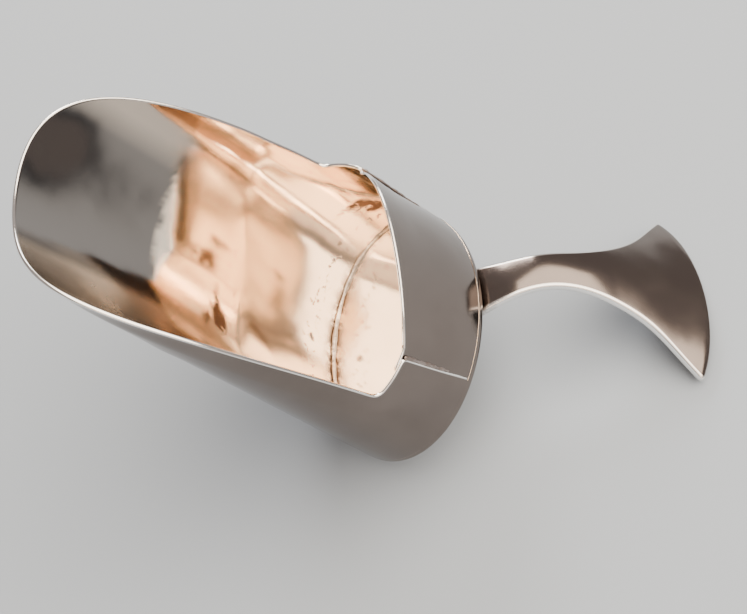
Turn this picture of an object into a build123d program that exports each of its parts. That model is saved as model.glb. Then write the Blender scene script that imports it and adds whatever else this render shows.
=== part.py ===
"""Small sheet-silver scoop: trough bowl, hood, oval back plate and a fan-ended strap handle.

The pieces are drawn in the bowl's own frame: X runs from the back plate to the lip, Y across the
bowl, Z towards its open side. At the end they are tipped into the stance in which the scoop stands
by itself, on the heel of its back plate and the two corners of its handle, with +Z up.
"""
from build123d import *
import math
import os

# ---- driving dimensions, in millimetres and degrees ----
HALF_WIDTH = 18.0          # bowl, outside, across
HALF_HEIGHT = 13.5         # bowl, outside, from its middle to its floor
SHEET = 0.75               # rolled sheet of the bowl and the hood
LIP_X = 51.7               # front of the lip, from the back plate's middle

PLATE_THICK = 1.0
PLATE_LEAN = 0.11          # how far the plate's top leans forward, per unit of height
PLATE_ROUND = 0.6          # rounding of the plate's rim

RIM_BACK = (9.0, 4.3)      # the side walls' free edge starts here, under the hood ...
RIM_PULL = (33.0, 0.7)     # ... is drawn by these two points ...
LIP_PULL = (51.7, -6.0)    # ... and comes round to the upright front of the lip

CHEEK_FOOT = (13.9, 3.7)   # front edge of the walls' cheeks, bottom ...
CHEEK_HEAD = (13.6, 8.2)   # ... and top, where the hood comes out
HOOD_PEAK = (17.4, 12.75)  # front edge of the hood at its crown
MOUTH_SKEW = 7.0           # the cheeks and the hood's front are cut this far off square
SEAM_BACK_Z = 9.7          # the seam rises towards the back plate
SEAM_LAP = 2.0             # the hood goes this far down inside the bowl's walls

SEAM_SOLDER = 0.4          # bead of solder on the ledge between wall and hood
CORNER_SOLDER = 0.8        # fillet of solder where plate and walls meet inside

STRAP = 1.2                # thickness of the handle's strap
FOOT_SOLDER = 0.2          # film of solder under the handle's foot
FOOT_LOW = 2.0             # lower end of the foot, along the plate
FOOT_HIGH = 10.0           # where the strap starts to lift off the plate
FOOT_HALF = 3.6            # half the strap's width at the foot
FOOT_SOLDER_MARGIN = 0.5   # the solder shows this far round the foot
FAN_HALF = 14.2            # half the fan's width at its end
FAN_CROWN = 3.2            # how far the fan's corners droop below its middle
FAN_BULGE = 1.6            # how far the fan's end swells beyond its corners
TOE = (-23.0, 28.2)        # the fan's corners, which the scoop stands on (x and z)

REACH = 30.0               # half length of every cutting prism, clear of the bowl on both sides

# ---- planes of the design ----
lean_length = math.hypot(1.0, PLATE_LEAN)
plate_out = (-1.0 / lean_length, 0.0, PLATE_LEAN / lean_length)
plate_plane = Plane(origin=(0, 0, 0), x_dir=(0, 1, 0), z_dir=plate_out)
plate_axis = Axis((0, 0, 0), plate_out)
skew = math.radians(MOUTH_SKEW)
side_plane = Plane.XZ
mouth_plane = Plane(
    origin=(0, 0, 0),
    x_dir=(math.cos(skew), math.sin(skew), 0),
    z_dir=(math.sin(skew), -math.cos(skew), 0),
)
tube_plane = Plane.YZ.offset(-HALF_HEIGHT)
tube_length = LIP_X + 2 * HALF_HEIGHT


def seam_z(x):
    """Height of the walls' upper edge, which is the visible seam, above the bowl's middle."""
    return SEAM_BACK_Z + (CHEEK_HEAD[1] - SEAM_BACK_Z) * x / CHEEK_HEAD[0]


def oval_ring(outside, thickness):
    """Oval ring section whose outer edge stands `outside` proud of the bowl's outer surface."""
    Ellipse(HALF_WIDTH + outside, HALF_HEIGHT + outside)
    Ellipse(
        HALF_WIDTH + outside - thickness,
        HALF_HEIGHT + outside - thickness,
        mode=Mode.SUBTRACT,
    )


# ---- the mouth: what is cut away above the walls and in front of the cheeks ----
with BuildPart() as mouth:
    with BuildSketch(side_plane):
        with BuildLine():
            rim = Bezier(RIM_BACK, RIM_PULL, LIP_PULL, (LIP_X, -HALF_HEIGHT))
            Polyline(
                rim @ 1,
                (LIP_X, -REACH),
                (LIP_X + REACH, -REACH),
                (LIP_X + REACH, REACH),
                (-REACH, REACH),
                (-REACH, RIM_BACK[1]),
                RIM_BACK,
            )
        make_face()
    extrude(amount=REACH, both=True)
    with BuildSketch(mouth_plane):
        with BuildLine():
            Polyline(
                (-REACH, 0),
                (CHEEK_FOOT[0], 0),
                CHEEK_FOOT,
                CHEEK_HEAD,
                (-REACH, seam_z(-REACH)),
                close=True,
            )
        make_face()
    extrude(amount=REACH, both=True, mode=Mode.SUBTRACT)

# ---- bowl: rolled trough with its two cheeks ----
with BuildPart() as bowl_body:
    with BuildSketch(tube_plane):
        oval_ring(0, SHEET)
    extrude(amount=tube_length)
    split(bisect_by=plate_plane, keep=Keep.BOTTOM)
    add(mouth.part, mode=Mode.SUBTRACT)
bowl_body.part.label = "bowl_body"

# ---- hood: a band over the top, its lower edges lapped inside the walls ----
with BuildPart() as hood:
    with BuildSketch(tube_plane):
        oval_ring(-SHEET, SHEET)
    extrude(amount=tube_length)
    split(bisect_by=plate_plane, keep=Keep.BOTTOM)
    with BuildSketch(mouth_plane):
        with BuildLine():
            Polyline(
                (-REACH, seam_z(-REACH) - SEAM_LAP),
                (CHEEK_HEAD[0], CHEEK_HEAD[1] - SEAM_LAP),
                CHEEK_HEAD,
                HOOD_PEAK,
                (HOOD_PEAK[0], REACH),
                (-REACH, REACH),
                close=True,
            )
        make_face()
    extrude(amount=REACH, both=True, mode=Mode.INTERSECT)
hood.part.label = "hood"

# ---- back plate: closes bowl and hood, with a rounded rim ----
with BuildPart() as back_plate:
    with BuildSketch(plate_plane):
        Ellipse(HALF_WIDTH, HALF_HEIGHT * lean_length)
    extrude(amount=PLATE_THICK)
    fillet(back_plate.faces().sort_by(plate_axis)[-1].edges(), PLATE_ROUND)
back_plate.part.label = "back_plate"

# ---- solder fillet round the inside of the plate, below the hood ----
with BuildPart() as back_plate_solder:
    with BuildSketch(plate_plane):
        Ellipse(HALF_WIDTH - SHEET, (HALF_HEIGHT - SHEET) * lean_length)
        Ellipse(
            HALF_WIDTH - SHEET - CORNER_SOLDER,
            (HALF_HEIGHT - SHEET - CORNER_SOLDER) * lean_length,
            mode=Mode.SUBTRACT,
        )
    extrude(amount=-CORNER_SOLDER)
    inner_edge = (
        back_plate_solder.faces().sort_by(plate_axis)[0].edges().sort_by(SortBy.LENGTH)[0]
    )
    chamfer(inner_edge, CORNER_SOLDER * 0.75)
    split(bisect_by=Plane.XY.offset(SEAM_BACK_Z - SEAM_LAP - CORNER_SOLDER), keep=Keep.BOTTOM)
back_plate_solder.part.label = "back_plate_solder"


def seam_bead(keep_side):
    """Bead of solder on the ledge of one wall, against the outside of the hood."""
    with BuildPart() as bead:
        with BuildSketch(tube_plane):
            oval_ring(SEAM_SOLDER - SHEET, SEAM_SOLDER)
        extrude(amount=tube_length)
        split(bisect_by=plate_plane, keep=Keep.BOTTOM)
        with BuildSketch(mouth_plane):
            with BuildLine():
                Polyline(
                    (-REACH, seam_z(-REACH)),
                    CHEEK_HEAD,
                    (CHEEK_HEAD[0], CHEEK_HEAD[1] + SEAM_SOLDER),
                    (-REACH, seam_z(-REACH) + SEAM_SOLDER),
                    close=True,
                )
            make_face()
        extrude(amount=REACH, both=True, mode=Mode.INTERSECT)
        split(bisect_by=Plane.XZ, keep=keep_side)
    return bead


hood_seam_solder_near = seam_bead(Keep.BOTTOM)
hood_seam_solder_near.part.label = "hood_seam_solder_near"
hood_seam_solder_far = seam_bead(Keep.TOP)
hood_seam_solder_far.part.label = "hood_seam_solder_far"


# ---- handle: a strap that runs up the plate, bends back and spreads into a fan ----
def on_plate(up, lift):
    """Point (x, z) that lies `up` along the plate and `lift` square off its inner face."""
    return (
        (PLATE_LEAN * up - lift) / lean_length,
        (up + PLATE_LEAN * lift) / lean_length,
    )


strap_lift = PLATE_THICK + FOOT_SOLDER + STRAP / 2

# stations of the strap: its middle line (x, z), its half width there, how far its edges droop
stations = [
    (on_plate(FOOT_HIGH, strap_lift), FOOT_HALF, 0.05),
    ((-1.5, 15.5), 2.9, 0.15),
    ((-3.4, 20.0), 2.6, 0.20),
    ((-7.0, 23.3), 3.0, 0.30),
    ((-11.5, 26.0), 4.6, 0.60),
    ((-15.5, 28.2), 7.2, 1.20),
    ((-19.0, 30.1), 10.8, 2.20),
    ((-22.6, 32.1), FAN_HALF + 0.4, FAN_CROWN),
]
fan_along = (-0.88, 0, 0.475)
middle_line = Spline(
    *[(point[0], 0, point[1]) for point, half, droop in stations],
    tangents=[(PLATE_LEAN, 0, 1), fan_along],
)
foot_plane = plate_plane.offset(PLATE_THICK + FOOT_SOLDER)
foot_length = FOOT_HIGH - FOOT_LOW
fan_tip = (stations[-1][0][0], 0, stations[-1][0][1])
fan_plane = Plane(origin=fan_tip, x_dir=(0, 1, 0), z_dir=(fan_along[2], 0, -fan_along[0]))

with BuildPart() as handle:
    for point, half, droop in stations:
        place = (point[0], 0, point[1])
        along = middle_line.tangent_at(middle_line.param_at_point(place))
        with BuildSketch(Plane(origin=place, x_dir=(0, 1, 0), z_dir=along)):
            with BuildLine():
                lower = ThreePointArc(
                    (-half, STRAP / 2 + droop), (0, STRAP / 2), (half, STRAP / 2 + droop)
                )
                upper = ThreePointArc(
                    (half, droop - STRAP / 2), (0, -STRAP / 2), (-half, droop - STRAP / 2)
                )
                Line(lower @ 1, upper @ 0)
                Line(upper @ 1, lower @ 0)
            make_face()
    loft()
    with BuildSketch(fan_plane):
        with BuildLine():
            end_arc = ThreePointArc((-FAN_HALF, -FAN_BULGE), (0, 0), (FAN_HALF, -FAN_BULGE))
            Polyline(
                end_arc @ 1,
                (REACH, -REACH),
                (REACH, -3 * REACH),
                (-REACH, -3 * REACH),
                (-REACH, -REACH),
                end_arc @ 0,
            )
        make_face()
    extrude(amount=REACH, both=True, mode=Mode.INTERSECT)
    with BuildSketch(foot_plane):
        with Locations((0, -(FOOT_HIGH + FOOT_LOW) / 2)):
            Rectangle(2 * FOOT_HALF, foot_length)
    extrude(amount=STRAP)
handle.part.label = "handle"

with BuildPart() as handle_foot_solder:
    with BuildSketch(plate_plane.offset(PLATE_THICK)):
        with Locations((0, -(FOOT_HIGH + FOOT_LOW) / 2)):
            RectangleRounded(
                2 * (FOOT_HALF + FOOT_SOLDER_MARGIN),
                foot_length + 2 * FOOT_SOLDER_MARGIN,
                FOOT_HALF,
            )
    extrude(amount=FOOT_SOLDER)
handle_foot_solder.part.label = "handle_foot_solder"

# ---- stance: tip everything until the heel and the fan's corners stand on one level ----
heel_middle = (                      # centre of the plate's rounded rim at the heel
    on_plate(-HALF_HEIGHT * lean_length + PLATE_ROUND, PLATE_THICK - PLATE_ROUND)
)
stance_along = Vector(TOE[0] - heel_middle[0], 0, TOE[1] - heel_middle[1]).normalized()
stance_turn = math.asin(PLATE_ROUND / math.dist(TOE, heel_middle))
stance_along = stance_along.rotate(Axis.Y, math.degrees(stance_turn))
stance = Plane(
    origin=(0, 0, 0),
    x_dir=(stance_along.X, 0, stance_along.Z),
    z_dir=(stance_along.Z, 0, -stance_along.X),
)
pieces = {
    "bowl_body": bowl_body,
    "hood": hood,
    "back_plate": back_plate,
    "back_plate_solder": back_plate_solder,
    "hood_seam_solder_near": hood_seam_solder_near,
    "hood_seam_solder_far": hood_seam_solder_far,
    "handle": handle,
    "handle_foot_solder": handle_foot_solder,
}
for piece in pieces.values():
    piece.part.move(stance.location)

# ---- origin: the middle of the whole scoop's footprint, on the level it stands on ----
# the handle is measured along its edges, which bound it more tightly than its curved faces
boxes = [piece.part.bounding_box() for piece in (bowl_body, back_plate)]
boxes += [edge.bounding_box() for edge in handle.part.edges()]
middle_x = (min(box.min.X for box in boxes) + max(box.max.X for box in boxes)) / 2
floor_z = min(box.min.Z for box in boxes)
centred = Location((-middle_x, 0, -floor_z))

os.makedirs("parts", exist_ok=True)
for name, piece in pieces.items():
    piece.part.move(centred)
    piece.part.label = name
    export_step(piece.part, f"parts/{name}.step")
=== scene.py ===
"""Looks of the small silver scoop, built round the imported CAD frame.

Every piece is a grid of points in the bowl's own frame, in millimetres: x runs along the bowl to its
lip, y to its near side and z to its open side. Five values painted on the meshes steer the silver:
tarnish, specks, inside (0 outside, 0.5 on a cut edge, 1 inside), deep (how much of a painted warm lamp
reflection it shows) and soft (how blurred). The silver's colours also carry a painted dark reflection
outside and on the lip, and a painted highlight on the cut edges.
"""
import math

import bmesh
import bpy
import numpy as np
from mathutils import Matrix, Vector


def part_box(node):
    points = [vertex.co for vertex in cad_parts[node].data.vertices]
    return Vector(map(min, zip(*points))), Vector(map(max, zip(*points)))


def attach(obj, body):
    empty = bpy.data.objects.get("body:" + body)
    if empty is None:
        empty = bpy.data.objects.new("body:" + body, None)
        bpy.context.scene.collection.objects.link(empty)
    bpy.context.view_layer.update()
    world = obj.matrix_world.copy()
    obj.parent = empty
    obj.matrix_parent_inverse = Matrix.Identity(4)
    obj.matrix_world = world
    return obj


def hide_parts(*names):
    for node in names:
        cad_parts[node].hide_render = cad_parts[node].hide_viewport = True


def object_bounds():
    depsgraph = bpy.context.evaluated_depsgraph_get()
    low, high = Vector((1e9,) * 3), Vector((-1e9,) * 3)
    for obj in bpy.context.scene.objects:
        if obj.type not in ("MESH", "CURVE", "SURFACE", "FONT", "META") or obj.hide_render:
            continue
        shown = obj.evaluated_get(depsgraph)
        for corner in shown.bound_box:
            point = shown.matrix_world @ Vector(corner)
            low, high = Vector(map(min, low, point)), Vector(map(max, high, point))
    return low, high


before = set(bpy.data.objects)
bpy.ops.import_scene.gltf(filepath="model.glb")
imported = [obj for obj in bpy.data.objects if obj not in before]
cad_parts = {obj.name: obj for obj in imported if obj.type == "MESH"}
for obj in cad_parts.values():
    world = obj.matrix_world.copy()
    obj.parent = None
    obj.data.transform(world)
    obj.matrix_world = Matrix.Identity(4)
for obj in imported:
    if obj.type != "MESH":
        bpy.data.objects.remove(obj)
cad_low, cad_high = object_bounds()

# ---- driving dimensions, in millimetres and radians, in the bowl's own frame ----
MM = 0.001
HALF_WIDTH = 18.0
HALF_HEIGHT = 13.5
SHEET = 0.75
LIP_X = 51.7
THINNING = 0.36                       # share of their thickness that the sheets lose at their free edges
THINNING_REACH = 3.0
EDGE_SQUARENESS = 0.75                # 1 gives half-round cut edges, less gives squarer ones
PLATE_THICK = 1.0
PLATE_LEAN = 0.11                     # how far the plate leans forward per mm of height
PLATE_ROUND = 0.6
RIM_CURVE = ((9.0, 4.3), (33.0, 0.7), (LIP_X, -6.0), (LIP_X, -HALF_HEIGHT))
CHEEK_FOOT = (13.9, 3.7)
CHEEK_HEAD = (13.6, 8.2)
HOOD_PEAK = (17.4, 12.75)
MOUTH_SKEW = math.radians(7.0)
SEAM_BACK_Z = 9.7
SEAM_LAP = 2.0
STRAP = 1.2
FOOT_SOLDER = 0.2
FOOT_LOW = 2.0
FOOT_HIGH = 10.0
FOOT_HALF = 3.6
FOOT_ROUND = 2.4                      # rounding of the foot's free end, in plan
FAN_HALF = 14.2
FAN_CROWN = 3.2
FAN_BULGE = 1.6
FAN_CORNER = 1.1                      # radius of the fan's two corners, in plan
AXIS_LEAN = math.radians(26.545)      # the bowl's axis leans this far back from upright

lean_length = math.hypot(1.0, PLATE_LEAN)
along_bowl = np.array((-math.sin(AXIS_LEAN), 0, math.cos(AXIS_LEAN)))
across_bowl = np.array((0.0, -1.0, 0.0))
open_side = np.array((math.cos(AXIS_LEAN), 0, math.sin(AXIS_LEAN)))


def on_plate(up, lift):
    """Point (x, z) `up` along the back plate and `lift` square off its inner face."""
    return ((PLATE_LEAN * up - lift) / lean_length, (up + PLATE_LEAN * lift) / lean_length)


# the frame's own boxes say where the bowl's frame lies: the lip's front and the heel
heel_x, heel_z = on_plate(-HALF_HEIGHT * lean_length + PLATE_ROUND, PLATE_THICK - PLATE_ROUND)
heel_level = (heel_x * along_bowl + heel_z * open_side)[2] - PLATE_ROUND
lip_reach = (LIP_X * along_bowl - HALF_HEIGHT * open_side)[0]
shift = np.array((
    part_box("bowl_body")[0].x / MM - lip_reach,
    0.0,
    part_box("back_plate")[0].z / MM - heel_level,
))


def to_row(points):
    """Points of the bowl's frame, in mm, as points of the row frame, in metres."""
    points = np.asarray(points, float)
    turned = (
        points[..., 0:1] * along_bowl + points[..., 1:2] * across_bowl + points[..., 2:3] * open_side
    )
    return (turned + shift) * MM


# ---- meshes ----
WELD = 2e-6
SLIVER = 1e-6


def make_piece(name, grid, attributes, wrap_rows=False, wrap_columns=False, caps=()):
    """A mesh piece from a grid of points in the bowl's frame; caps names rows closed by a fan."""
    rows, columns = grid.shape[:2]
    points = [tuple(p) for p in to_row(grid).reshape(-1, 3)]
    faces = []
    for i in range(rows if wrap_rows else rows - 1):
        for j in range(columns if wrap_columns else columns - 1):
            k, m = (i + 1) % rows, (j + 1) % columns
            faces.append((i * columns + j, i * columns + m, k * columns + m, k * columns + j))
    values = {key: list(np.asarray(v, float).reshape(-1)) for key, v in attributes.items()}
    for row in caps:
        start = (row % rows) * columns
        middle = len(points)
        points.append(tuple(to_row(grid[row].mean(axis=0))))
        for painted in values.values():
            painted.append(float(np.mean(painted[start:start + columns])))
        for j in range(columns):
            faces.append((middle, start + j, start + (j + 1) % columns))
    mesh = bpy.data.meshes.new(name)
    mesh.from_pydata(points, [], faces)
    for key, painted in values.items():
        layer = mesh.attributes.new(key, "FLOAT", "POINT")
        layer.data.foreach_set("value", np.array(painted, np.float32))
    piece = bpy.data.objects.new(name, mesh)
    bpy.context.scene.collection.objects.link(piece)
    clean_mesh(mesh)
    return piece


def clean_mesh(mesh):
    """Weld doubles, drop slivers, turn all faces outwards and shade smooth."""
    work = bmesh.new()
    work.from_mesh(mesh)
    bmesh.ops.remove_doubles(work, verts=work.verts, dist=WELD)
    bmesh.ops.dissolve_degenerate(work, edges=work.edges, dist=SLIVER)
    bmesh.ops.recalc_face_normals(work, faces=work.faces)
    for face in work.faces:
        face.smooth = True
    work.to_mesh(mesh)
    work.free()
    mesh.update()


def smooth_step(share):
    return share * share * (3 - 2 * share)


def waves(u, v, seed, pitch, height):
    """Smooth hand-made unevenness over two coordinates in mm: six sines across each other."""
    golden_angle = 2.399
    total = 0.0
    for k in range(6):
        angle = seed * 1.7 + k * golden_angle
        size = pitch * (0.7 + 0.25 * k)
        along = u * math.cos(angle) + v * math.sin(angle)
        total = total + np.sin(along * 2 * math.pi / size + seed * 3.1 + k * 1.9)
    return total * height / 3.0


def bump_at(u, v, centre, radii, height):
    """A single soft dent, swelling or spot."""
    return height * np.exp(-((u - centre[0]) / radii[0]) ** 2 - ((v - centre[1]) / radii[1]) ** 2)


class Tube:
    """The middle surface of an oval rolled sheet; arc runs round it from the bottom, in mm."""

    def __init__(self, half_width, half_height):
        self.a, self.b = half_width, half_height
        self.angles = np.linspace(-math.pi, 2 * math.pi, 6001)
        y, z = self.a * np.sin(self.angles), -self.b * np.cos(self.angles)
        self.arcs = np.concatenate(([0], np.cumsum(np.hypot(np.diff(y), np.diff(z)))))
        self.arcs -= np.interp(0, self.angles, self.arcs)

    def arc(self, angle):
        return np.interp(angle, self.angles, self.arcs)

    def place(self, arc, x, lift):
        """Points at (arc, x), lifted square off the middle surface."""
        angle = np.interp(arc, self.arcs, self.angles)
        y, z = self.a * np.sin(angle), -self.b * np.cos(angle)
        ny, nz = np.sin(angle) / self.a, -np.cos(angle) / self.b
        size = np.hypot(ny, nz)
        return np.stack((x + 0 * y, y + lift * ny / size, z + lift * nz / size), -1)

    def plate_x(self, arc):
        """The x of the back plate's inner face at this arc."""
        angle = np.interp(arc, self.arcs, self.angles)
        return PLATE_LEAN * -self.b * np.cos(angle)


def even_path(points, blur, step=0.3, fine_step=0.05):
    """The path resampled evenly, with its corners rounded off by a blur in mm."""
    points = np.asarray(points, float)
    run = np.concatenate(([0], np.cumsum(np.hypot(*np.diff(points, axis=0).T))))
    fine = np.arange(0, run[-1], fine_step)
    fine_points = np.stack([np.interp(fine, run, points[:, k]) for k in (0, 1)], -1)
    reach = int(3 * blur / fine_step)
    weight = np.exp(-0.5 * (np.arange(-reach, reach + 1) * fine_step / blur) ** 2)
    weight /= weight.sum()
    padded = np.concatenate((
        2 * fine_points[0] - fine_points[reach:0:-1],
        fine_points,
        2 * fine_points[-1] - fine_points[-2:-reach - 2:-1],
    ))
    smooth = np.stack([np.convolve(padded[:, k], weight, "valid") for k in (0, 1)], -1)
    run = np.concatenate(([0], np.cumsum(np.hypot(*np.diff(smooth, axis=0).T))))
    even = np.linspace(0, run[-1], int(run[-1] / step) + 1)
    return np.stack([np.interp(even, run, smooth[:, k]) for k in (0, 1)], -1)


def no_flare(arc, x):
    return 0.0 * x


def sheet_rows(tube, edge, rows):
    """Grid of (arc, x) from the back plate to the last ring before the cut edge, and the way inward."""
    step = np.gradient(edge, axis=0)
    step /= np.hypot(step[:, 0], step[:, 1])[:, None]
    inward = np.stack((-step[:, 1], step[:, 0]), -1)
    ring = edge + SHEET / 2 * inward
    ring[:, 0] = np.minimum.accumulate(ring[:, 0])
    start = np.stack((ring[:, 0], tube.plate_x(ring[:, 0])), -1)
    ring[:, 1] = np.maximum(ring[:, 1], start[:, 1] + 0.02)
    # a first row close to the plate keeps the shading clean there, and rows crowd to the free edge
    share = np.concatenate(([0.0, 0.002], 1 - (1 - np.linspace(0.01, 1, rows)) ** 1.35))
    return start[None] + (ring - start)[None] * share[:, None, None], inward


def edge_loss(flat, root):
    """Half of what the sheet loses in thickness at each grid point, near its free edge."""
    ring = flat[-1]
    to_edge = np.array([
        np.hypot(row[:, None, 0] - ring[None, :, 0], row[:, None, 1] - ring[None, :, 1]).min(axis=1)
        for row in flat
    ])
    near_edge = np.clip(1 - to_edge / THINNING_REACH, 0, 1) * root
    return SHEET / 2 * THINNING * smooth_step(near_edge)


def sheet_piece(name, tube, edge, uneven, marks, rows, worn_side, flare=no_flare):
    """A rolled sheet from the back plate to a free edge, given as (arc, x) with the sheet on its left.

    The sheet thins towards its free edge on worn_side: 1 is its outside, -1 its inside.
    """
    root_reach = 6.0
    edge_rows = 9
    flat, inward = sheet_rows(tube, edge, rows)
    arc, x = flat[..., 0], flat[..., 1]
    root = smooth_step(np.clip((x - flat[0, :, 1]) / root_reach, 0, 1))
    lost = edge_loss(flat, root)
    middle = uneven(arc, x) * root + flare(arc, x) - worn_side * lost
    half = SHEET / 2 - lost
    outer = tube.place(arc, x, middle + half)
    inner = tube.place(arc, x, middle - half)
    round_rows, round_flat = [], []
    for angle in np.linspace(math.pi / 2, -math.pi / 2, edge_rows)[1:-1]:
        out = half[-1][:, None] * abs(math.cos(angle)) ** EDGE_SQUARENESS
        up = half[-1] * math.copysign(abs(math.sin(angle)) ** EDGE_SQUARENESS, angle)
        spot = flat[-1] - inward * out
        round_rows.append(tube.place(spot[:, 0], spot[:, 1], middle[-1] + up))
        round_flat.append(spot)
    grid = np.concatenate((outer, np.array(round_rows), inner[::-1]))
    sides = np.concatenate((
        np.zeros(outer.shape[:2]), np.full(np.shape(round_rows)[:2], 0.5), np.ones(inner.shape[:2])
    ))
    flats = np.concatenate((flat, np.array(round_flat), flat[::-1]))
    attributes = {"inside": sides, **marks(flats[..., 0], flats[..., 1], sides)}
    return make_piece(name, grid, attributes, wrap_rows=True)


def seam_z(x):
    return SEAM_BACK_Z + (CHEEK_HEAD[1] - SEAM_BACK_Z) * x / CHEEK_HEAD[0]


def unskew(x, y):
    """The x of a point that a square-cut profile puts at x, once the mouth is cut off square."""
    return (x - y * math.sin(MOUTH_SKEW)) / math.cos(MOUTH_SKEW)


def on_wall(tube, side, x, z, over_top=False):
    """A square-cut profile (x, z) laid on the near (1) or far (-1) wall, as (arc, x).

    With over_top the far wall's arc is measured on over the top of the tube.
    """
    angle = np.arccos(-z / tube.b)
    turn = 2 * math.pi - angle if over_top and side < 0 else side * angle
    return np.stack((tube.arc(turn), unskew(x, side * tube.a * np.sin(angle))), -1)


def clear_of_plate(tube, path):
    """The part of the path that is in front of the back plate."""
    return path[path[:, 1] > tube.plate_x(path[:, 0]) + 0.05]


def bowl_edge(tube):
    """Free edge of the bowl: near seam, near cheek, rim, lip, and back up the far side."""
    t = np.linspace(0, 1, 400)[:, None]
    p = np.array(RIM_CURVE)
    rim = (1 - t) ** 3 * p[0] + 3 * t * (1 - t) ** 2 * p[1] + 3 * t ** 2 * (1 - t) * p[2] + t ** 3 * p[3]
    cheek_half_width = 0.96 * HALF_WIDTH
    sides = []
    for side in (1, -1):
        kept = rim[rim[:, 0] > unskew(CHEEK_FOOT[0], side * cheek_half_width)]
        angle = np.arccos(np.clip(-kept[:, 1] / tube.b, -1, 1))
        rim_part = np.stack((side * tube.arc(angle), kept[:, 0]), -1)
        cheek_z = np.linspace(kept[0, 1], CHEEK_HEAD[1], 30)
        cheek_x = np.interp(cheek_z, (CHEEK_FOOT[1], CHEEK_HEAD[1]), (CHEEK_FOOT[0], CHEEK_HEAD[0]))
        cheek = on_wall(tube, side, cheek_x, cheek_z)
        seam_x = np.linspace(CHEEK_HEAD[0], 0, 40)
        seam = clear_of_plate(tube, on_wall(tube, side, seam_x, seam_z(seam_x)))
        sides.append(np.concatenate((rim_part[::-1], cheek[1:], seam[1:])))
    return even_path(np.concatenate((sides[0][::-1], sides[1][1:])), 0.5)


def hood_edge(tube):
    """Free edge of the hood: far lap, front line and near lap."""
    slope = (HOOD_PEAK[0] - CHEEK_HEAD[0]) / (HOOD_PEAK[1] - CHEEK_HEAD[1])
    sides = []
    for side in (1, -1):
        z = np.concatenate((
            np.linspace(tube.b, CHEEK_HEAD[1], 160)[:-1],
            np.linspace(CHEEK_HEAD[1], CHEEK_HEAD[1] - SEAM_LAP, 12),
        ))
        x = CHEEK_HEAD[0] + np.maximum(z - CHEEK_HEAD[1], 0) * slope
        front = on_wall(tube, side, x, z, over_top=True)
        lap_x = np.linspace(CHEEK_HEAD[0], 0, 40)[1:]
        lap = on_wall(tube, side, lap_x, seam_z(lap_x) - SEAM_LAP, over_top=True)
        sides.append(np.concatenate((front, clear_of_plate(tube, lap))))
    return even_path(np.concatenate((sides[1][::-1], sides[0][1:])), 0.45)


def joint_tarnish(x):
    """Tarnish left by the soldering, fading away from the back plate."""
    return 0.5 * np.exp(-(x + 0.5) / 1.2)


# ---- bowl ----
bowl_tube = Tube(HALF_WIDTH - SHEET / 2, HALF_HEIGHT - SHEET / 2)
WARM_REFLECTION_END_X = 31.2                       # the painted warm lamp reflection in the bowl ends at this x along the bottom
BOWL_STAINS = (                       # (arc, x) of the middle, reach in arc and x, strength
    ((1.3, 20.2), (1.6, 0.85), 1.8),
    ((-1.6, 21.0), (2.8, 0.5), 1.0),
    ((-26.3, 5.6), (2.0, 1.0), 1.7),
    ((-24.3, 7.3), (2.6, 0.5), 0.9),
)


def bowl_uneven(arc, x):
    """Planishing waves, a soft crease across the trough and two bruises near the lip."""
    soft = waves(arc, x, 1.3, 19.0, 0.03)
    crease_x = 16.8 + 0.38 * np.maximum(-arc - 7, 0)
    crease = -0.09 * np.exp(-((x - crease_x) / 2.6) ** 2) * np.clip((8 - arc) / 8, 0, 1)
    bruises = bump_at(arc, x, (15.5, 34.5), (1.5, 2.0), 0.10) + bump_at(arc, x, (-15, 25), (3, 4), 0.07)
    return soft + crease + bruises


def bowl_marks(arc, x, side):
    """Tarnish by the solder and in stains, pits, the painted warm reflection and the blurred part of the
    trough.
    """
    inside = side > 0.6
    tarnish = joint_tarnish(x) + sum(bump_at(arc, x, *stain) for stain in BOWL_STAINS)
    # painted reflection: a warm lamp seen in the trough, up to a ragged line across it; past it the
    # painted dark lip
    line = WARM_REFLECTION_END_X + 0.35 * np.maximum(-arc - 17, 0) - 0.55 * np.maximum(arc - 2, 0)
    line = line + waves(arc, 0 * x, 5.1, 4.0, 0.45) + waves(arc, 0 * x, 2.1, 1.1, 0.14)
    warm_reflected = np.clip((line - x) / 0.6 + 0.5, 0, 1)
    # painted reflection: a share of the warm lamp reflection lightens the near and far walls by the lip
    near_wall = 0.62 * np.clip((arc - 3.0 - 0.08 * (x - 31)) / 1.6, 0, 1)
    far_wall = 0.45 * np.clip((-arc - 14.5) / 3.5, 0, 1)
    soft = np.clip((arc - 2.0) / 3.0, 0, 1) * np.clip((x - 26) / 6.0, 0, 1)
    specks = np.exp(-((x - 3.2) / 1.2) ** 2) + bump_at(arc, x, (1.0, 18.5), (3.5, 1.2), 0.5)
    return {
        "tarnish": np.clip(tarnish, 0, 1) * inside,
        "specks": np.clip(specks, 0, 1) * inside,
        "painted_warm_reflection": np.maximum(np.maximum(warm_reflected, near_wall), far_wall) * inside,
        "soft": soft * inside,
    }


bowl = sheet_piece("bowl_shell", bowl_tube, bowl_edge(bowl_tube), bowl_uneven, bowl_marks, 72, 1)
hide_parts("bowl_body")
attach(bowl, "root")

# ---- hood ----
hood_tube = Tube(HALF_WIDTH - 1.5 * SHEET, HALF_HEIGHT - 1.5 * SHEET)
HOOD_STAINS = (                       # (arc past the top, x) of the middle, reach, strength
    ((12.5, 9.5), (1.6, 2.2), 1.2),
    ((9.0, 8.0), (1.0, 1.5), 0.8),
)


def hood_uneven(arc, x):
    return waves(arc, x, 4.2, 13.0, 0.025)


def hood_flare(arc, x):
    """The hood widens towards the back plate until it is all but flush with the walls."""
    flare_length, gap = 13.0, 0.04
    return (SHEET - gap) * smooth_step(np.clip(1 - x / flare_length, 0, 1))


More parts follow.
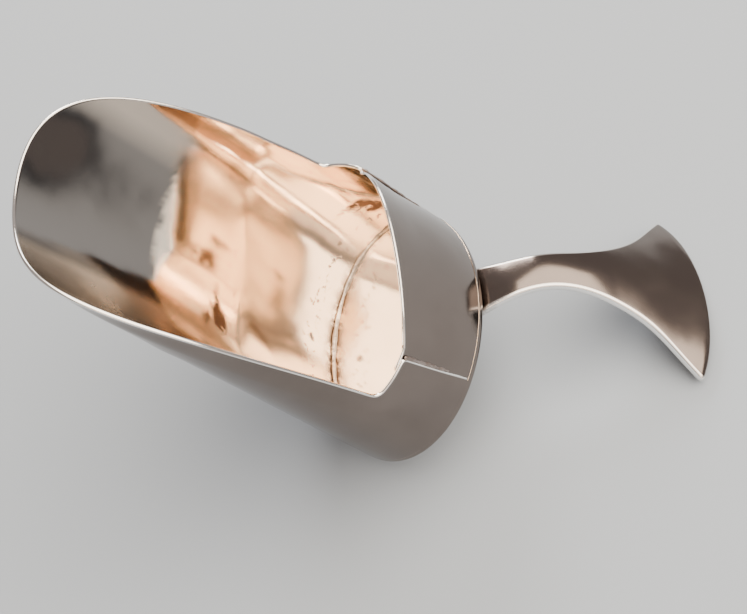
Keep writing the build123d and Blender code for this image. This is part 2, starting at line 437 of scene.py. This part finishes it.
def hood_marks(arc, x, side):
    """Tarnish by the solder and in stains under the front edge, a few pits, and a painted warm reflection
    inside.
    """
    inside = side > 0.6
    past_top = arc - hood_tube.arc(math.pi)
    stains = sum(bump_at(past_top, x, *stain) for stain in HOOD_STAINS)
    tarnish = joint_tarnish(x) * inside + stains * (side > 0.4)
    return {
        "tarnish": np.clip(tarnish, 0, 1),
        "specks": 0.5 * np.exp(-((x - 6.0) / 2.0) ** 2) * inside,
        # painted reflection: the warm lamp over all of the hood's inside
        "painted_warm_reflection": 1.0 * inside,
    }


hood = sheet_piece(
    "hood_band", hood_tube, hood_edge(hood_tube), hood_uneven, hood_marks, 34, -1, hood_flare,
)
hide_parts("hood")
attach(hood, "root")


# ---- back plate ----
def plate_point(u, v, lift):
    """Point of the plate's own plane: u across, v up along it, lift off its inner face."""
    x, z = on_plate(v, lift)
    return np.stack((x + 0 * u, u + 0 * x, z + 0 * u), -1)


def plate_outline(count, shrink):
    """Oval outline of the plate, moved in by shrink, square to the outline."""
    t = np.linspace(0, 2 * math.pi, count, endpoint=False)
    a, b = HALF_WIDTH, HALF_HEIGHT * lean_length
    normal = np.stack((np.cos(t) / a, np.sin(t) / b), -1)
    normal /= np.linalg.norm(normal, axis=1)[:, None]
    return np.stack((a * np.cos(t), b * np.sin(t)), -1) - shrink * normal


def back_plate_disc():
    """The plate from the middle of its inner face, round its rim, to the middle of its outside."""
    count = 256
    softening = 0.03
    foot_middle = (FOOT_LOW + FOOT_HIGH) / 2
    rows, tarnish, painted_warm_reflection = [], [], []

    def add(outline, lift, tarnished, warm_reflected):
        rows.append(plate_point(outline[:, 0], outline[:, 1], lift))
        tarnish.append(np.zeros(count) + tarnished)
        painted_warm_reflection.append(np.full(count, warm_reflected))

    # painted reflection: the inner face and the inner part of its rim show the warm lamp, the rest the
    # dark one
    for share in np.linspace(0.03, 1, 26):
        outline = plate_outline(count, softening) * share
        wave = waves(outline[:, 0], outline[:, 1], 2.2, 15.0, 0.03) * (1 - share ** 6)
        add(outline, -wave, 0.5 * share ** 30, 1.0)
    for angle in np.linspace(0, math.pi / 2, 5)[1:]:
        outline = plate_outline(count, softening * (1 - math.sin(angle)))
        add(outline, softening * (1 - math.cos(angle)), 0.0, 1.0 if angle < 1.0 else 0.0)
    for angle in np.linspace(0, math.pi / 2, 10):
        outline = plate_outline(count, PLATE_ROUND * (1 - math.cos(angle)))
        add(outline, PLATE_THICK - PLATE_ROUND * (1 - math.sin(angle)), 0.0, 0.0)
    for share in np.linspace(1, 0.03, 26)[1:]:
        outline = plate_outline(count, PLATE_ROUND) * share
        u, v = outline[:, 0], outline[:, 1]
        beside_foot = np.maximum(abs(u) - FOOT_HALF, 0)
        beyond_foot = np.maximum(abs(v - foot_middle) - (FOOT_HIGH - FOOT_LOW) / 2, 0)
        at_foot = np.exp(-(beside_foot ** 2 + beyond_foot ** 2) / 1.4)
        wave = waves(u, v, 6.1, 15.0, 0.03) * (1 - share ** 6) * (1 - at_foot)
        add(outline, PLATE_THICK - abs(wave), 0.7 * at_foot, 0.0)
    attributes = {
        "tarnish": tarnish, "painted_warm_reflection": painted_warm_reflection, "inside": np.zeros_like(painted_warm_reflection), "specks": np.zeros_like(painted_warm_reflection),
    }
    return make_piece("back_plate_disc", np.array(rows), attributes, wrap_columns=True, caps=(0, -1))


plate = back_plate_disc()
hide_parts("back_plate")
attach(plate, "root")


# ---- handle ----
def curve_through(points, samples):
    """Smooth cubic curve through points (rows of values), evenly sampled along its length."""
    points = np.asarray(points, float)
    knots = np.concatenate(([0], np.cumsum(np.linalg.norm(np.diff(points[:, :2], axis=0), axis=1))))
    n = len(points)
    system, right = np.zeros((n, n)), np.zeros_like(points)
    gap = np.diff(knots)
    system[0, :2] = 2, 1
    system[-1, -2:] = 1, 2
    right[0] = 3 * (points[1] - points[0]) / gap[0]
    right[-1] = 3 * (points[-1] - points[-2]) / gap[-1]
    for i in range(1, n - 1):
        system[i, i - 1:i + 2] = gap[i], 2 * (gap[i - 1] + gap[i]), gap[i - 1]
        right[i] = 3 * (
            gap[i] * (points[i] - points[i - 1]) / gap[i - 1]
            + gap[i - 1] * (points[i + 1] - points[i]) / gap[i]
        )
    slopes = np.linalg.solve(system, right)
    out = []
    for t in np.linspace(0, knots[-1], samples):
        i = min(max(int(np.searchsorted(knots, t, "right")) - 1, 0), n - 2)
        w = (t - knots[i]) / gap[i]
        out.append(
            (1 + 2 * w) * (1 - w) ** 2 * points[i] + w * w * (3 - 2 * w) * points[i + 1]
            + w * (1 - w) ** 2 * gap[i] * slopes[i] - w * w * (1 - w) * gap[i] * slopes[i + 1]
        )
    return np.array(out)


strap_lift = PLATE_THICK + FOOT_SOLDER + STRAP / 2
STATIONS = (                          # x, z, half width and droop of the sides along the handle
    (*on_plate(FOOT_LOW, strap_lift), FOOT_HALF, 0.0),
    (*on_plate(FOOT_LOW + 2.7, strap_lift), FOOT_HALF, 0.0),
    (*on_plate(FOOT_LOW + 5.4, strap_lift), FOOT_HALF, 0.0),
    (*on_plate(FOOT_HIGH, strap_lift), FOOT_HALF, 0.05),
    (-1.5, 15.5, 2.9, 0.15),
    (-3.4, 20.0, 2.6, 0.20),
    (-7.0, 23.3, 3.0, 0.30),
    (-11.5, 26.0, 4.6, 0.60),
    (-15.5, 28.2, 7.2, 1.20),
    (-19.0, 30.1, 10.8, 2.20),
    (-22.6, 32.1, FAN_HALF + 0.4, FAN_CROWN),
)
spine = curve_through(STATIONS, 800)
spine_run = np.concatenate(([0], np.cumsum(np.hypot(*np.diff(spine[:, :2], axis=0).T))))
spine_along = np.gradient(spine[:, :2], axis=0)
spine_along /= np.hypot(spine_along[:, 0], spine_along[:, 1])[:, None]
strap_length = spine_run[-1]


def strap_section():
    """Outline of the strap's section: across and up from -1 to 1, and how far its edges bulge out."""
    flat_count, edge_count, squareness = 40, 8, 0.7
    flat = np.linspace(-1, 1, flat_count)
    edge = np.linspace(math.pi / 2, -math.pi / 2, edge_count + 2)[1:-1]
    edge_out = abs(np.cos(edge)) ** squareness
    edge_up = np.sign(np.sin(edge)) * abs(np.sin(edge)) ** squareness
    across = np.concatenate((flat, np.ones(edge_count), flat[::-1], -np.ones(edge_count)))
    out = np.concatenate((0 * flat, edge_out, 0 * flat, -edge_out))
    up = np.concatenate((1 + 0 * flat, edge_up, -1 + 0 * flat, -edge_up))
    return across, out, up


def strap_ring(share, thin, pull):
    """One closed ring round the strap; thin shrinks its thickness, pull draws its sides in."""
    across, out, up = strap_section()
    edge_in = STRAP / 2 * 0.9
    # the fan's end is an arc, so the rings bend back towards their sides
    bulge_radius = (FAN_HALF ** 2 + FAN_BULGE ** 2) / (2 * FAN_BULGE)
    y = across * np.interp(share * strap_length, spine_run, spine[:, 2])
    bulge = bulge_radius - np.sqrt(np.maximum(bulge_radius ** 2 - y ** 2, 0))
    run = share * (strap_length - bulge)
    x, z, half, droop = (np.interp(run, spine_run, spine[:, k]) for k in range(4))
    along_x, along_z = (np.interp(run, spine_run, spine_along[:, k]) for k in range(2))
    half = half - pull
    droop = np.maximum(droop, 0.01)
    radius = (half ** 2 + droop ** 2) / (2 * droop)
    angle = across * np.arcsin(np.clip((half - edge_in) / radius, -1, 1))
    side = radius * np.sin(angle) + out * edge_in * np.cos(angle)
    drop = radius * (1 - np.cos(angle)) + out * edge_in * np.sin(angle)
    worn = waves(run, side, 3.3, 9.0, 0.02) * np.clip(run / 4 - 2, 0, 1)
    lift = up * STRAP / 2 * thin + worn
    side = side + lift * np.sin(angle)
    drop = drop - lift * np.cos(angle)
    # the drop is square to the strap
    return np.stack((x - drop * along_z, side, z + drop * along_x), -1), run, up


def handle_strap():
    """The strap from the free end of its foot to the end of the fan."""
    plan = [
        (FOOT_ROUND * (1 - math.cos(a)) / strap_length,
         min(1.0, 0.35 + 1.2 * math.sin(a)), 0.7 * FOOT_HALF * (1 - math.sin(a)))
        for a in np.linspace(0.12, math.pi / 2, 12)[:-1]
    ]
    body_shares = np.linspace(FOOT_ROUND / strap_length, 1 - FAN_CORNER / strap_length, 150)
    plan += [(share, 1.0, 0.0) for share in body_shares]
    plan += [
        (1 - FAN_CORNER * (1 - math.cos(a)) / strap_length,
         min(1.0, 0.3 + 1.2 * math.sin(a)), 0.9 * FAN_CORNER * (1 - math.sin(a)))
        for a in np.linspace(math.pi / 2, 0.1, 10)[1:]
    ]
    rings, tarnish, cut_edge = [], [], []
    for share, thin, pull in plan:
        ring, run, up = strap_ring(share, thin, pull)
        rings.append(ring)
        # the strap's cut edges get the painted edge highlight
        cut_edge.append(0.5 * (abs(up) < 0.97))
        tarnish.append(0.6 * np.exp(-np.maximum(run - 9.5, 0) / 2.5) * (run > 6))
    attributes = {
        "tarnish": tarnish, "inside": cut_edge,
        "specks": np.zeros_like(cut_edge), "painted_warm_reflection": np.zeros_like(cut_edge),
    }
    return make_piece("handle_strap", np.array(rings), attributes, wrap_columns=True, caps=(0, -1))


handle = handle_strap()
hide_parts("handle")
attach(handle, "root")


# ---- solder ----
def solder_piece(name, node, rows, painted_warm_reflection=0.0):
    """A closed run of solder from its rings, standing for one CAD node."""
    grid = np.array(rows)
    shape = grid.shape[:2]
    attributes = {
        "tarnish": np.full(shape, 0.35), "inside": np.zeros(shape),
        "specks": np.full(shape, 0.4), "painted_warm_reflection": np.full(shape, painted_warm_reflection),
    }
    piece = make_piece(name, grid, attributes, wrap_columns=True, caps=(0, -1))
    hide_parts(node)
    return piece


def fade_end(*distances):
    """Factor that rounds a run of solder off at its ends."""
    return math.sqrt(max(min(1.0, *distances), 0.02))


def seam_bead(name, node, side):
    """Uneven bead of solder along the ledge between one wall and the hood."""
    back_x, front_x = 1.6, CHEEK_HEAD[0] - 0.35
    ledge_depth = 0.55 * SHEET
    ledge = Tube(HALF_WIDTH - ledge_depth, HALF_HEIGHT - ledge_depth)
    turn = np.linspace(0, 2 * math.pi, 14, endpoint=False)
    rows = []
    for x in np.linspace(back_x, front_x, 150):
        angle = math.acos(-seam_z(x) / ledge.b)
        size = 0.19 + 0.04 * math.sin(x * 2.1 + side) + 0.025 * math.sin(x * 5.3 + 2 * side)
        size *= fade_end((x - back_x + 0.1) / 1.6, (CHEEK_HEAD[0] - x) / 0.9)
        arc = side * (ledge.arc(angle) + size * 1.25 * np.cos(turn))
        ring = ledge.place(arc, 0.0, size * 0.9 * np.sin(turn) - 0.02)
        ring[:, 0] = unskew(x, side * ledge.a * math.sin(angle))
        rows.append(ring)
    return solder_piece(name, node, rows)


def corner_fillet():
    """Uneven fillet of solder where the bowl meets the plate inside."""
    a, b = HALF_WIDTH - SHEET, (HALF_HEIGHT - SHEET) * lean_length
    top = math.asin((SEAM_BACK_Z - SEAM_LAP - 0.8) / b)
    first, last = math.pi - top, 2 * math.pi + top
    bend = np.linspace(0, math.pi / 2, 7)
    rows = []
    for t in np.linspace(first, last, 260):
        normal = np.array((math.cos(t) / a, math.sin(t) / b))
        normal /= np.linalg.norm(normal)
        size = 0.55 + 0.10 * math.sin(9 * t) + 0.06 * math.sin(23 * t + 1) + 0.04 * math.sin(41 * t)
        size *= fade_end((t - first) / 0.12, (last - t) / 0.12)
        # the hollow face, between two points sunk in the bowl's wall
        inset = np.concatenate(((-0.05,), size * (1 - np.sin(bend)), (-0.05,)))
        height = np.concatenate(((-0.02,), size * (1 - np.cos(bend)), (size * 0.5,)))
        u, v = a * math.cos(t) - normal[0] * inset, b * math.sin(t) - normal[1] * inset
        rows.append(plate_point(u, v, -height))
    # painted reflection: the fillet shows the warm lamp like the inside round it
    return solder_piece("plate_fillet", "back_plate_solder", rows, painted_warm_reflection=1.0)


def foot_collar():
    """Solder that has run out round the handle's foot and stands up against its sides."""
    t = np.linspace(0, 2 * math.pi, 160, endpoint=False)
    half_length = (FOOT_HIGH - FOOT_LOW) / 2
    middle = (FOOT_HIGH + FOOT_LOW) / 2
    corner_power = 0.45
    shape_u = np.sign(np.cos(t)) * abs(np.cos(t)) ** corner_power
    shape_v = np.sign(np.sin(t)) * abs(np.sin(t)) ** corner_power
    ragged = 0.42 + 0.08 * np.sin(7 * t) + 0.05 * np.sin(17 * t + 1)
    profile = (                       # margin round the foot and height over the plate
        (-1.6, 0.02), (1.0, 0.0), (0.95, 0.05), (0.55, 0.12), (0.2, 0.32), (-0.1, 0.5), (-1.6, 0.45),
    )
    rows = []
    for margin, lift in profile:
        grow = margin if margin < 0 else margin * ragged
        u, v = shape_u * (FOOT_HALF + grow), middle + shape_v * (half_length + grow)
        rows.append(plate_point(u, v, PLATE_THICK + lift))
    return solder_piece("foot_collar", "handle_foot_solder", rows)


solders = [
    seam_bead("seam_bead_near", "hood_seam_solder_near", 1),
    seam_bead("seam_bead_far", "hood_seam_solder_far", -1),
    corner_fillet(),
    foot_collar(),
]
for solder in solders:
    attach(solder, "root")


# ---- materials ----
# painted reflection of a warm lamp, on the insides of the bowl, hood and plate
WARM_LAMP_REFLECTION = (1.0, 0.835, 0.675)
# painted dark reflection of the surroundings, on the outside of the silver
OUTSIDE_DARK_REFLECTION = (0.20, 0.168, 0.152)
# painted dark reflection of the surroundings, on the inside by the lip
LIP_DARK_REFLECTION = (0.21, 0.190, 0.176)
# painted highlight on the cut edges
EDGE_HIGHLIGHT = (0.97, 0.95, 0.92)
DULL = (0.058, 0.024, 0.015)
SOLDER = (0.46, 0.39, 0.36)
BURNT = tuple(0.35 * c for c in DULL)


class Shader:
    """Small helpers that add linked nodes to one material."""

    def __init__(self, name):
        self.material = bpy.data.materials.new(name)
        self.material.use_nodes = True
        self.nodes, self.links = self.material.node_tree.nodes, self.material.node_tree.links
        self.nodes.clear()
        self.where = self.nodes.new("ShaderNodeTexCoord").outputs["Object"]

    def feed(self, socket, value):
        """Give a socket a number, a colour or another node's output."""
        if isinstance(value, (int, float)):
            socket.default_value = value
        elif isinstance(value, tuple):
            socket.default_value = (*value, 1.0)
        else:
            self.links.new(value, socket)

    def noise(self, size_mm, detail, rough, stretch=None, turn=None):
        texture = self.nodes.new("ShaderNodeTexNoise")
        texture.inputs["Scale"].default_value = 1.0 / (size_mm * MM)
        texture.inputs["Detail"].default_value = detail
        texture.inputs["Roughness"].default_value = rough
        vector = self.where
        if stretch:
            mapping = self.nodes.new("ShaderNodeMapping")
            mapping.inputs["Scale"].default_value = stretch
            mapping.inputs["Rotation"].default_value = turn
            self.links.new(self.where, mapping.inputs["Vector"])
            vector = mapping.outputs["Vector"]
        self.links.new(vector, texture.inputs["Vector"])
        return texture.outputs["Fac"]

    def attribute(self, key):
        node = self.nodes.new("ShaderNodeAttribute")
        node.attribute_name = key
        return node.outputs["Fac"]

    def ramp(self, value, low, high):
        node = self.nodes.new("ShaderNodeMapRange")
        node.inputs["From Min"].default_value = low
        node.inputs["From Max"].default_value = high
        self.links.new(value, node.inputs["Value"])
        return node.outputs["Result"]

    def maths(self, operation, one, two):
        node = self.nodes.new("ShaderNodeMath")
        node.operation = operation
        node.use_clamp = operation != "SUBTRACT"
        self.feed(node.inputs[0], one)
        self.feed(node.inputs[1], two)
        return node.outputs["Value"]

    def times(self, one, two):
        return self.maths("MULTIPLY", one, two)

    def mix(self, factor, one, two):
        """Blend of two colours; the node's colour inputs are its seventh and eighth."""
        node = self.nodes.new("ShaderNodeMix")
        node.data_type = "RGBA"
        self.links.new(factor, node.inputs["Factor"])
        self.feed(node.inputs[6], one)
        self.feed(node.inputs[7], two)
        return node.outputs[2]

    def bump(self, height_mm, value, normal=None):
        node = self.nodes.new("ShaderNodeBump")
        node.inputs["Strength"].default_value = 1.0
        node.inputs["Distance"].default_value = height_mm * MM
        self.links.new(value, node.inputs["Height"])
        if normal is not None:
            self.links.new(normal, node.inputs["Normal"])
        return node.outputs["Normal"]

    def finish(self, colour, rough, normal):
        out = self.nodes.new("ShaderNodeOutputMaterial")
        metal = self.nodes.new("ShaderNodeBsdfPrincipled")
        metal.inputs["Metallic"].default_value = 1.0
        self.links.new(colour, metal.inputs["Base Color"])
        self.links.new(rough, metal.inputs["Roughness"])
        self.links.new(normal, metal.inputs["Normal"])
        self.links.new(metal.outputs["BSDF"], out.inputs["Surface"])
        return self.material


def silver(name, smooth, worn, wave_size, wave_height, pits, scratch_height=0.0020, outer=OUTSIDE_DARK_REFLECTION):
    """Polished silver with painted reflections and edge highlights, tarnish, clouds of wear, planishing
    waves, scratches and pits.
    """
    shader = Shader(name)
    clouds = shader.noise(9.0, 4.0, 0.55)
    ragged = shader.noise(1.6, 6.0, 0.7)
    inside = shader.attribute("inside")
    stain = shader.times(shader.attribute("tarnish"), shader.ramp(ragged, 0.30, 0.54))
    stain = shader.ramp(stain, 0.12, 0.60)
    pitted = shader.ramp(shader.noise(1.0, 3.0, 0.6), 0.57, 0.66)
    pitted = shader.times(shader.times(shader.attribute("specks"), pitted), pits)
    # painted highlight on the cut edges, where inside is 0.5
    edge = shader.times(shader.times(inside, shader.maths("SUBTRACT", 1.0, inside)), 4.0)

    patches = shader.ramp(clouds, 0.35, 0.75)
    # painted dark reflections, outside and inside by the lip; the patches are real tone
    open_colour = shader.mix(patches, outer, tuple(0.86 * c for c in outer))
    open_colour = shader.mix(inside, open_colour, LIP_DARK_REFLECTION)
    # painted reflection of the warm lamp, for the insides
    lamp_reflection_colour = shader.mix(patches, WARM_LAMP_REFLECTION, tuple(0.93 * c for c in WARM_LAMP_REFLECTION))
    colour = shader.mix(shader.attribute("painted_warm_reflection"), open_colour, lamp_reflection_colour)
    colour = shader.mix(edge, colour, EDGE_HIGHLIGHT)
    colour = shader.mix(shader.times(stain, 0.95), colour, DULL)
    colour = shader.mix(pitted, colour, BURNT)

    rough = shader.maths("ADD", shader.times(shader.ramp(clouds, 0.42, 0.72), worn - smooth), smooth)
    for cause, more in ((stain, 0.22), (pitted, 0.3), (shader.attribute("soft"), 0.16)):
        rough = shader.maths("ADD", rough, shader.times(cause, more))

    scratches = shader.noise(0.9, 3.0, 0.6, stretch=(1.0, 6.0, 0.35), turn=(0.3, 0.2, 0.9))
    normal = shader.bump(wave_height, shader.noise(wave_size, 1.5, 0.4))
    normal = shader.bump(scratch_height, scratches, normal)
    normal = shader.bump(0.02, shader.times(ragged, shader.maths("ADD", stain, pitted)), normal)
    return shader.finish(colour, rough, normal)


bowl.data.materials.append(silver("bowl silver", 0.08, 0.15, wave_size=9.0, wave_height=0.12, pits=0.8))
hood.data.materials.append(silver("hood silver", 0.12, 0.22, wave_size=7.5, wave_height=0.10, pits=0.8))
plate.data.materials.append(silver("plate silver", 0.10, 0.18, wave_size=9.0, wave_height=0.12, pits=0.5))
handle.data.materials.append(silver(
    "handle silver", 0.14, 0.24, wave_size=6.0, wave_height=0.08, pits=0.3, scratch_height=0.0030,
))
solder_silver = silver(
    "solder silver", 0.22, 0.36, wave_size=1.6, wave_height=0.05, pits=1.0, scratch_height=0.0030,
    outer=SOLDER,
)
for solder in solders:
    solder.data.materials.append(solder_silver)

# ---- floor, light and camera ----
FLOOR_HALF = 3.0
floor_mesh = bpy.data.meshes.new("floor")
floor_mesh.from_pydata(
    [(-FLOOR_HALF, -FLOOR_HALF, 0), (FLOOR_HALF, -FLOOR_HALF, 0),
     (FLOOR_HALF, FLOOR_HALF, 0), (-FLOOR_HALF, FLOOR_HALF, 0)],
    [], [(0, 1, 2, 3)],
)
floor = bpy.data.objects.new("floor", floor_mesh)
bpy.context.scene.collection.objects.link(floor)
floor.location.z = cad_low.z
floor_material = bpy.data.materials.new("floor paper")
floor_material.use_nodes = True
paper = floor_material.node_tree.nodes["Principled BSDF"]
paper.inputs["Base Color"].default_value = (0.35, 0.40, 0.46, 1)
paper.inputs["Roughness"].default_value = 0.9
floor.data.materials.append(floor_material)

world = bpy.data.worlds.new("studio")
bpy.context.scene.world = world
world.use_nodes = True
background = world.node_tree.nodes["Background"]
background.inputs["Color"].default_value = (0.36, 0.315, 0.295, 1)
background.inputs["Strength"].default_value = 1.1


def soft_light(name, place, width, height, watts, colour):
    """Soft panel light at place, facing the middle of the scoop."""
    data = bpy.data.lights.new(name, "AREA")
    data.shape = "RECTANGLE"
    data.size, data.size_y = width, height
    data.energy = watts
    data.color = colour
    lamp = bpy.data.objects.new(name, data)
    lamp.location = place
    aim = (cad_low + cad_high) / 2
    lamp.rotation_euler = (aim - Vector(place)).to_track_quat("-Z", "Y").to_euler()
    bpy.context.scene.collection.objects.link(lamp)


soft_light("overhead", (0.28, 0.0, 0.62), 1.05, 1.05, 18.5, (1.0, 0.87, 0.72))
soft_light("far side", (-0.06, 0.54, 0.33), 0.24, 0.24, 3.4, (1.0, 0.93, 0.86))
soft_light("near side", (0.10, -0.75, 0.40), 0.9, 0.6, 2.6, (1.0, 0.80, 0.64))

# the camera looks down on the scoop from its near right, into the open trough
CAMERA_TURN = tuple(math.radians(angle) for angle in (35.0539, 13.7781, -6.1388))
BOWL_IN_VIEW = Vector((3.492, -3.254, -179.685))      # the bowl frame's origin as the camera sees it, mm
camera_data = bpy.data.cameras.new("camera")
camera_data.lens = 66.89
camera_data.sensor_width = 36.0
camera_data.clip_start = 0.01
camera_data.clip_end = 10.0
camera = bpy.data.objects.new("camera", camera_data)
bpy.context.scene.collection.objects.link(camera)
bpy.context.scene.camera = camera
camera.rotation_euler = CAMERA_TURN
camera.location = Vector(shift * MM) - camera.rotation_euler.to_matrix() @ (BOWL_IN_VIEW * MM)
